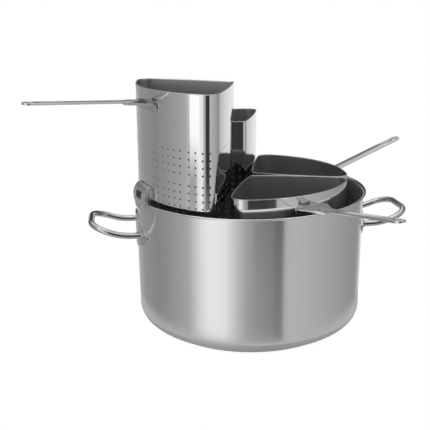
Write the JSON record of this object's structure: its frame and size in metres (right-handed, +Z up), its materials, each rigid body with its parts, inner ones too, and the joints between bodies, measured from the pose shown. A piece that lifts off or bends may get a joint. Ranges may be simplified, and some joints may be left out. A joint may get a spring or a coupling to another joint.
{
  "type": "pasta pot with strainer inserts",
  "caption": "Wide stainless pasta pot on a sandwich base with loop side handles and quarter-sector perforated strainer inserts, each with a long strip handle and a rim hook.",
  "frame": {"origin": "centre of the pot's base, on the surface it stands on", "axes": "+Z up; +X and +Y run along the seams between the quarter inserts, and the side handles lie about 19 degrees from X"},
  "size_m": [0.5151, 0.4849, 0.3872],
  "materials": {
    "pot_steel": "satin brushed stainless steel, brushed round the wall",
    "base_steel": "bright pressed stainless steel",
    "core_aluminium": "plain disc, sealed inside the base",
    "plate_steel": "satin pressed stainless steel",
    "rod_steel": "polished stainless steel rod",
    "weld": "blasted weld bead",
    "insert_steel": "bright perforated stainless sheet",
    "bracket_steel": "satin folded stainless sheet",
    "handle_steel": "bright stainless strip with broken edges"
  },
  "bodies": {
    "pot": {"pot_body": "pot_steel", "base_core": "core_aluminium", "base_cap": "base_steel", "left_plate": "plate_steel", "right_plate": "plate_steel", "left_loop": "rod_steel", "right_loop": "rod_steel", "left_welds": "weld", "right_welds": "weld"},
    "front_right_insert": {"front_right_wall": "insert_steel", "front_right_floor": "insert_steel", "front_right_rim_plate": "insert_steel", "front_right_bracket": "bracket_steel", "front_right_handle": "handle_steel", "front_right_hook": "bracket_steel"},
    "back_right_insert": {"back_right_wall": "insert_steel", "back_right_floor": "insert_steel", "back_right_rim_plate": "insert_steel", "back_right_bracket": "bracket_steel", "back_right_handle": "handle_steel", "back_right_hook": "bracket_steel"},
    "front_left_insert": {"front_left_wall": "insert_steel", "front_left_floor": "insert_steel", "front_left_rim_plate": "insert_steel", "front_left_bracket": "bracket_steel", "front_left_handle": "handle_steel", "front_left_hook": "bracket_steel"},
    "back_left_insert": {"back_left_wall": "insert_steel", "back_left_floor": "insert_steel", "back_left_rim_plate": "insert_steel", "back_left_bracket": "bracket_steel", "back_left_handle": "handle_steel", "back_left_hook": "bracket_steel"}
  },
  "joints": [
    {"name": "front_right_lift", "type": "slide", "parent": "pot", "child": "front_right_insert", "axis": [0, 0, 1], "range_m": [0, 0.17]},
    {"name": "back_right_lift", "type": "slide", "parent": "pot", "child": "back_right_insert", "axis": [0, 0, 1], "range_m": [0, 0.17]},
    {"name": "front_left_lift", "type": "slide", "parent": "pot", "child": "front_left_insert", "axis": [0, 0, 1], "range_m": [0, 0.06]},
    {"name": "back_left_lift", "type": "slide", "parent": "pot", "child": "back_left_insert", "axis": [0, 0, 1], "range_m": [0, 0.09]}
  ]
}
